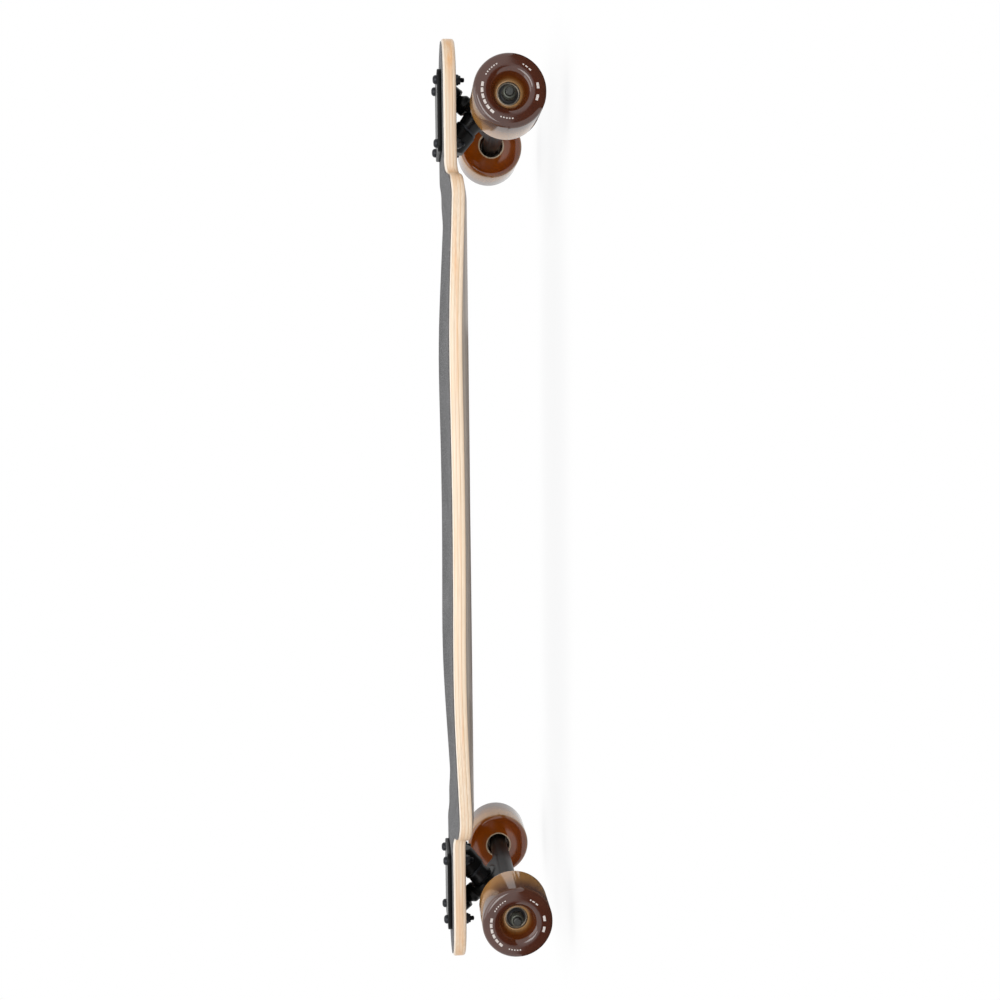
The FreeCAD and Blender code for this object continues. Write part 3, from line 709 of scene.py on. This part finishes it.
AXLE_BACK = 8.6 * MM
AXLE_DROP = 58.5 * MM
AXLE = Matrix.Translation((-AXLE_BACK, 0, -AXLE_DROP)) @ Matrix.Rotation(math.radians(-90), 4, "X")
AXLE_RADIUS = 4.0
AXLE_END = 127
half = thread(AXLE_RADIUS, 112.0, 126.2, 1.25, 0.45) + [(3.2, AXLE_END), (0, AXLE_END)]
rod = turned("axle", [(r, -z) for r, z in reversed(half)] + half, 40)
shade(rod, 35)
rod.data.materials.append(steel)
fit_to_trucks(rod, "steel_axle", "axle", [AXLE], leans=True)

# Speed washers
# Thin steel rings on each axle, either side of each wheel's bearings. They bear on the inner races alone,
# so the wheel turns freely.

RACE_BORE = 4.05
BAR_END = 90
RING_THICKNESS = 1.5
BEARING_WIDTH = 7
SECOND_BEARING = 17
HUB_SEAT = BAR_END + RING_THICKNESS
HUB_END = HUB_SEAT + SECOND_BEARING + BEARING_WIDTH
NUT_SEAT = HUB_END + RING_THICKNESS

washer = turned(
    "speed_washer",
    [(RACE_BORE, 0), (5.5, 0), (5.5, RING_THICKNESS), (RACE_BORE, RING_THICKNESS), (RACE_BORE, 0)],
    48,
)
soften(washer, 0.2, 2)
washer.data.materials.append(steel)
ring_seats = [AXLE @ Matrix.Translation((0, 0, z * MM)) for z in (-NUT_SEAT, -HUB_SEAT, BAR_END, HUB_END)]
fit_to_trucks(washer, "thin_washers", "speed_washers", ring_seats, leans=True)

# Axle nuts
# One lock nut at each end of each axle, against the outer speed washer. Its collar grips the thread, so it
# needn't pinch the bearings.

# Dull plated steel: a grey-green coat that has lost its shine.
plated = mottled(
    "dull_plated_steel",
    350,
    4.0,
    [(0.3, "#4A4C46"), (0.7, "#65685F")],
    0.45,
    {"Metallic": 0.7},
)

nut = lock_nut("axle_nut", 13, 6.5, 1.8, 2 * AXLE_RADIUS)
nut.data.materials.append(plated)
out = Matrix.Translation((0, 0, NUT_SEAT * MM))
nut_seats = [AXLE @ out, AXLE @ HALF_TURN @ out]
fit_to_trucks(nut, "wheel_nuts", "axle_nuts", nut_seats, leans=True)

# Wheels
# Poured urethane, 69 mm across and 50 mm wide, with rounded lips, a dished outer face and a seat for a
# bearing on each side. The clear amber-brown resin glows where it is thin, and white dashes are printed
# round the outer face.

WHEEL_HEIGHT = NECK_TOP - AXLE_DROP
AXLE_REACH = TRUCK_REACH - AXLE_BACK
WHEEL_RADIUS = 34.5
WHEEL_FACE = 38.5
WHEEL_BACK = -11.5
LIP_ROUNDING = 4.5
DISH_RADIUS = 20.5
BACK_BORE = 12.9
BEARING_RADIUS = 11.0
HUB_BORE = 9.3
WIDE_BAND = (25.0, 27.4)
NARROW_BAND = (25.6, 26.8)


def round_ring(piece, radius, height, offset, segments):
    """Bevel the ring of edges at that radius and height, in millimetres."""
    choose(piece)
    mesh = piece.data
    near = 0.02 * MM
    for face in mesh.polygons:
        face.select = False
    for point in mesh.vertices:
        at_radius = abs(math.hypot(point.co.x, point.co.y) - radius * MM) < near
        point.select = at_radius and abs(point.co.z - height * MM) < near
    for edge in mesh.edges:
        edge.select = all(mesh.vertices[n].select for n in edge.vertices)
    bpy.ops.object.mode_set(mode="EDIT")
    bpy.ops.mesh.bevel(offset=offset * MM, segments=segments, profile=0.5, affect="EDGES")
    bpy.ops.object.mode_set(mode="OBJECT")


# Translucent urethane, drawn as an opaque surface with its glow painted into the colour: dark red-brown
# where the resin is thick, a painted orange-brown glow in the dish and over the back, a painted tan and
# near-white glow round the bearing, and a painted lighter glow on the tread. Distance from the axle picks
# the colour.
amber = blank_material("amber_brown_urethane")
spot = add(amber, "TexCoord")
place = add(amber, "SeparateXYZ", {0: spot.outputs["Object"]})
along = add(amber, "Math", {0: place.outputs["X"]}, operation="ABSOLUTE")
from_axle = add(amber, "Math", {0: along.outputs[0], 1: AXLE_REACH}, operation="SUBTRACT")
above = add(amber, "Math", {0: place.outputs["Z"], 1: WHEEL_HEIGHT}, operation="SUBTRACT")
spoke = add(amber, "CombineXYZ", {0: from_axle.outputs[0], 1: 0.0, 2: above.outputs[0]})
radius = add(amber, "VectorMath", {0: spoke.outputs[0]}, operation="LENGTH")
reach = add(amber, "MapRange", {"Value": radius.outputs["Value"], "From Min": 0.010, "From Max": 0.035})
# Outer face: the dark red-brown resin, with a painted tan glow round the bore, a painted orange-brown glow
# in the dish and a painted lighter band on the tread.
face_colour_and_glow = add(
    amber,
    "ValToRGB",
    {0: reach.outputs[0]},
    stops=[
        (0.0, "#B8966C"),
        (0.09, "#B08653"),
        (0.14, "#84501F"),
        (0.20, "#683210"),
        (0.32, "#54260D"),
        (0.42, "#4A2213"),
        (0.55, "#4C2517"),
        (0.94, "#4E2A1C"),
        (1.0, "#6C4C3B"),
    ],
)
# Back side: orange-brown resin lightened as painted light passing through it, a painted near-white glow
# round the bearing seat and a painted amber glow on the tread.
back_colour_and_glow = add(
    amber,
    "ValToRGB",
    {0: reach.outputs[0]},
    stops=[
        (0.0, "#5A3214"),
        (0.10, "#6A3C18"),
        (0.115, "#FFF0DC"),
        (0.155, "#F6DDB8"),
        (0.19, "#A0500E"),
        (0.5, "#9C4B0A"),
        (0.82, "#8A3F06"),
        (0.93, "#9C5A20"),
        (1.0, "#CB9A58"),
    ],
)
side = add(amber, "Math", {0: place.outputs["Y"]}, operation="ABSOLUTE")
depth = add(
    amber,
    "MapRange",
    {"Value": side.outputs[0], "From Min": 0.090, "From Max": 0.122},
    interpolation_type="SMOOTHSTEP",
)
both = add(
    amber,
    "Mix",
    {0: depth.outputs[0], 6: back_colour_and_glow.outputs[0], 7: face_colour_and_glow.outputs[0]},
    data_type="RGBA",
)
cloud = add(amber, "TexNoise", {"Vector": spot.outputs["Object"], "Scale": 45, "Detail": 3.0})
swirl = add(amber, "ValToRGB", {0: cloud.outputs[0]}, stops=[(0.3, "#DCD2CA"), (0.7, "#FFFFFF")])
colour = add(
    amber,
    "Mix",
    {0: 0.8, 6: both.outputs[2], 7: swirl.outputs[0]},
    data_type="RGBA",
    blend_type="MULTIPLY",
)
surface = add(
    amber,
    "BsdfPrincipled",
    {"Base Color": colour.outputs[2], "Roughness": 0.1, "Specular IOR Level": 0.8},
)
add(amber, "OutputMaterial", {"Surface": surface.outputs[0]})

# Pad-printed white ink, slightly thin over the brown.
ink = mottled(
    "white_print_ink",
    800,
    3.0,
    [(0.25, "#B5A8A0"), (0.6, "#DDD6D1")],
    0.3,
    {"IOR": 1.5},
)

wheel = turned(
    "wheel",
    [
        (BACK_BORE, WHEEL_BACK),
        (WHEEL_RADIUS, WHEEL_BACK),
        (WHEEL_RADIUS, WHEEL_FACE),
        (WIDE_BAND[1], WHEEL_FACE),
        (NARROW_BAND[1], WHEEL_FACE),
        (NARROW_BAND[0], WHEEL_FACE),
        (WIDE_BAND[0], WHEEL_FACE),
        (DISH_RADIUS, WHEEL_FACE),
        (18.3, 36.6),
        (16.2, 33.2),
        (14.3, 29.0),
        (13.0, 26.2),
        (12.2, 25.0),
        (BEARING_RADIUS, 25.0),
        (BEARING_RADIUS, SECOND_BEARING),
        (HUB_BORE, SECOND_BEARING),
        (HUB_BORE, BEARING_WIDTH),
        (BEARING_RADIUS, BEARING_WIDTH),
        (BEARING_RADIUS, -1.0),
        (11.7, -1.0),
        (BACK_BORE, WHEEL_BACK),
    ],
    120,
)
round_ring(wheel, WHEEL_RADIUS, WHEEL_FACE, LIP_ROUNDING, 7)
round_ring(wheel, WHEEL_RADIUS, WHEEL_BACK, LIP_ROUNDING, 7)
round_ring(wheel, DISH_RADIUS, WHEEL_FACE, 1.5, 3)
round_ring(wheel, BACK_BORE, WHEEL_BACK, 0.8, 3)
shade(wheel, 30)
wheel.data.materials.append(amber)
wheel.data.materials.append(ink)
# Each run of dashes: first and last angle, pitch, length, and the band that it fills.
DASH_RUNS = [
    (75, 147, 12, 9, WIDE_BAND),
    (27, 63, 6, 3, NARROW_BAND),
    (159, 189, 6, 3, NARROW_BAND),
    (249, 297, 24, 12, WIDE_BAND),
    (312, 333, 9, 6, NARROW_BAND),
]
for face in wheel.data.polygons:
    middle = face.center / MM
    if abs(middle.z - WHEEL_FACE) > 0.1:
        continue
    angle = math.degrees(math.atan2(middle.y, middle.x)) % 360
    radius = math.hypot(middle.x, middle.y)
    for start, stop, pitch, length, (inner, outer) in DASH_RUNS:
        printed = start < angle < stop and (angle - start) % pitch < length
        if printed and inner < radius < outer:
            face.material_index = 1

HUBS = {}
onto_axle = Matrix.Translation((0, 0, HUB_SEAT * MM))
for end, truck in TRUCKS.items():
    for hand in ("left", "right"):
        outward = (hand == "left") == (end == "front")
        turn = Matrix.Identity(4) if outward else HALF_TURN
        roll = Matrix.Rotation(0 if end == "front" else math.pi, 4, "Z")
        HUBS[end + "_" + hand] = truck @ AXLE @ turn @ roll @ onto_axle
for corner, hub in HUBS.items():
    piece = copy_to(wheel, corner + "_urethane_wheel", hub)
    stands_for(piece, corner + "_wheel", corner + "_wheel_set")
bpy.data.objects.remove(wheel)

# Bearings
# Two steel ball bearings in each wheel, 22 mm across, with black covers over the balls. A steel spacer
# keeps the inner races apart on the axle.

BALL_TRACK = 7.6
COVER_BORE = 6.4
COVER_RADIUS = 9.1
COVER_INSET = 0.25

# Ground bearing steel: a warm grey shine with a fine mottle.
polished = mottled(
    "ground_bearing_steel",
    900,
    2.0,
    [(0.3, "#6F675C"), (0.7, "#8A8175")],
    (0.22, 0.36),
    {"Metallic": 1.0},
)


def race(name, inner, outer):
    """Both bearings' rings of one kind, each with a groove on the side that faces the balls."""
    toward = outer if abs(outer - BALL_TRACK) < abs(inner - BALL_TRACK) else inner
    into = -1 if toward == outer else 1
    steps = ((0, 2.1), (0.35, 2.7), (0.5, 3.5), (0.35, 4.3), (0, 4.9))
    track = [(toward + into * cut, height) for cut, height in steps]
    top = BEARING_WIDTH
    if toward == outer:
        ring = [(inner, 0), (outer, 0)] + track + [(outer, top), (inner, top), (inner, 0)]
    else:
        ring = [(inner, top), (outer, top), (outer, 0), (inner, 0)] + track + [(inner, top)]
    rings = []
    for height in (0, SECOND_BEARING):
        piece = turned(name, [(r, z + height) for r, z in ring], 56)
        soften(piece, 0.3, 2)
        rings.append(piece)
    return joined(rings, name)


outer_races = race("outer_races", COVER_RADIUS, BEARING_RADIUS)
outer_races.data.materials.append(polished)
inner_races = race("inner_races", RACE_BORE, 6.1)
inner_races.data.materials.append(polished)
COVER = [
    (COVER_BORE, 0),
    (7.2, 0.1),
    (8.4, 0.1),
    (8.6, 0),
    (COVER_RADIUS, 0),
    (COVER_RADIUS, 0.35),
    (COVER_BORE, 0.35),
    (COVER_BORE, 0),
]
covers = []
for bottom in (0, SECOND_BEARING):
    for level, lean in ((COVER_INSET, 1), (BEARING_WIDTH - COVER_INSET, -1)):
        covers.append(turned("cover", [(r, bottom + level + lean * z) for r, z in COVER], 56))
shields = joined(covers, "bearing_covers")
shade(shields, 35)
shields.data.materials.append(nylon)
for corner, hub in HUBS.items():
    spinning = corner + "_wheel_set"
    still = corner.split("_")[0] + "_hanger_set"
    piece = copy_to(outer_races, corner + "_outer_rings", hub)
    stands_for(piece, corner + "_outer_races", spinning)
    piece = copy_to(inner_races, corner + "_inner_rings", hub)
    stands_for(piece, corner + "_inner_races", still)
    piece = copy_to(shields, corner + "_covers", hub)
    stands_for(piece, corner + "_bearing_shields", spinning)
    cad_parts[corner + "_bearing_balls"].material_slots[0].material = polished
    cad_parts[corner + "_bearing_retainers"].material_slots[0].material = nylon
    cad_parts[corner + "_bearing_spacer"].material_slots[0].material = steel
for master in (outer_races, inner_races, shields):
    bpy.data.objects.remove(master)

# Studio
# A pale floor that runs out to white, one soft box overhead and one in front. The floor lies low enough to
# stay clear of the wheel that dips when a truck is turned to its limit. The camera stands low at the
# board's side, turned so that the nose points up in the picture.

FLOOR_DROP = 0.022
FLOOR_SIZE = 40
CARD_HEIGHT = 0.0005
CAMERA_PLACE = (0.0854, -1.1957, 0.1459)
CAMERA_TURN = (-10.0043, 84.6757, -96.3232)
CAMERA_LENS = 40.775


def seen_rays(material):
    """One for what the camera sees, straight or in a gloss, and zero for light that falls on the board."""
    rays = add(material, "LightPath")
    straight = add(
        material,
        "Math",
        {0: rays.outputs["Is Camera Ray"], 1: rays.outputs["Is Glossy Ray"]},
        operation="MAXIMUM",
    )
    backdrop = add(
        material,
        "Math",
        {0: straight.outputs[0], 1: rays.outputs["Is Transmission Ray"]},
        operation="MAXIMUM",
    )
    return backdrop.outputs[0]


# White paper with a painted shadow: the camera and glosses see an even white glow that an ambient-occlusion
# ramp darkens a little close to the wheels. It is clear from below, so that the underside of the board can
# be looked at.
paper = blank_material("white_paper_floor")
shadow = add(paper, "AmbientOcclusion", {"Distance": 0.12}, samples=8)
painted_shadow = add(
    paper,
    "ValToRGB",
    {0: shadow.outputs["AO"]},
    stops=[(0.0, "#E2E2E3"), (0.8, "#FFFFFF")],
)
seen = add(paper, "Emission", {"Color": painted_shadow.outputs[0], "Strength": 1.0})
matt = add(paper, "BsdfDiffuse", {"Color": srgb("#F2F2F2")})
direct = add(paper, "MixShader", {0: seen_rays(paper), 1: matt.outputs[0], 2: seen.outputs[0]})
sheet = add(paper, "NewGeometry")
clear = add(paper, "BsdfTransparent")
one_way = add(
    paper,
    "MixShader",
    {0: sheet.outputs["Backfacing"], 1: direct.outputs[0], 2: clear.outputs[0]},
)
add(paper, "OutputMaterial", {"Surface": one_way.outputs[0]})
bpy.ops.object.select_all(action="DESELECT")
bpy.ops.mesh.primitive_plane_add(size=FLOOR_SIZE, location=(0, 0, -FLOOR_DROP))
floor = bpy.context.object
floor.name = "floor"
floor.data.materials.append(paper)

# Dark cards lie level with the bottom of the wheels for their gloss alone: each glows a dim grey by itself
# and shows only in reflections, a painted reflection that gives each face a light half and a dark half, as
# a photographer's black flags do.
glow_card = blank_material("glowing_grey_card")
spot = add(glow_card, "TexCoord")
nap = add(glow_card, "TexNoise", {"Vector": spot.outputs["Object"], "Scale": 300})
colour = add(glow_card, "ValToRGB", {0: nap.outputs[0]}, stops=[(0.3, "#383838"), (0.7, "#484848")])
grey_glow = add(glow_card, "Emission", {"Color": colour.outputs[0], "Strength": 1.0})
add(glow_card, "OutputMaterial", {"Surface": grey_glow.outputs[0]})


def gloss_card(name, size, place):
    """A level card, glowing a dim grey by itself, that only reflections show: a painted reflection."""
    bpy.ops.object.select_all(action="DESELECT")
    bpy.ops.mesh.primitive_plane_add(size=1, location=(*place, CARD_HEIGHT))
    card = bpy.context.object
    card.name = name
    card.scale = (*size, 1)
    bpy.ops.object.transform_apply(location=True, rotation=True, scale=True)
    card.visible_camera = False
    card.visible_diffuse = False
    card.visible_shadow = False
    card.data.materials.append(glow_card)


gloss_card("nose_card", (0.24, 0.48), (0.50, -0.20))
gloss_card("tail_card", (0.33, 0.48), (-0.455, -0.20))
gloss_card("far_card", (0.44, 0.31), (-0.02, 0.225))
gloss_card("gap_card", (0.09, 0.14), (-0.265, 0.09))

world = bpy.data.worlds.new("white_room")
world.use_nodes = True
world.node_tree.nodes.clear()
room = add(world, "Background", {"Color": srgb("#FFFFFF"), "Strength": 0.55})
white = add(world, "Background", {"Color": srgb("#FFFFFF"), "Strength": 1.0})
blend = add(world, "MixShader", {0: seen_rays(world), 1: room.outputs[0], 2: white.outputs[0]})
add(world, "OutputWorld", {"Surface": blend.outputs[0]})
bpy.context.scene.world = world


def soft_box(name, place, aim, size, power):
    """A rectangular lamp at one place, turned to face another."""
    bpy.ops.object.light_add(type="AREA", location=place)
    lamp = bpy.context.object
    lamp.name = name
    lamp.data.shape = "RECTANGLE"
    lamp.data.size, lamp.data.size_y = size
    lamp.data.energy = power
    lamp.rotation_euler = (Vector(aim) - Vector(place)).to_track_quat("-Z", "Y").to_euler()


soft_box("overhead_box", (0.1, -0.5, 1.5), (0, 0, 0), (1.6, 1.2), 8)
soft_box("front_box", (0.05, -2.2, 0.9), (0, 0, 0.05), (1.6, 1.0), 19.5)

bpy.ops.object.camera_add(location=CAMERA_PLACE)
camera = bpy.context.object
camera.rotation_euler = [math.radians(a) for a in CAMERA_TURN]
camera.data.sensor_width = 36
camera.data.lens = CAMERA_LENS
camera.data.clip_start = 0.01
bpy.context.scene.camera = camera
bpy.context.scene.view_settings.view_transform = "Standard"
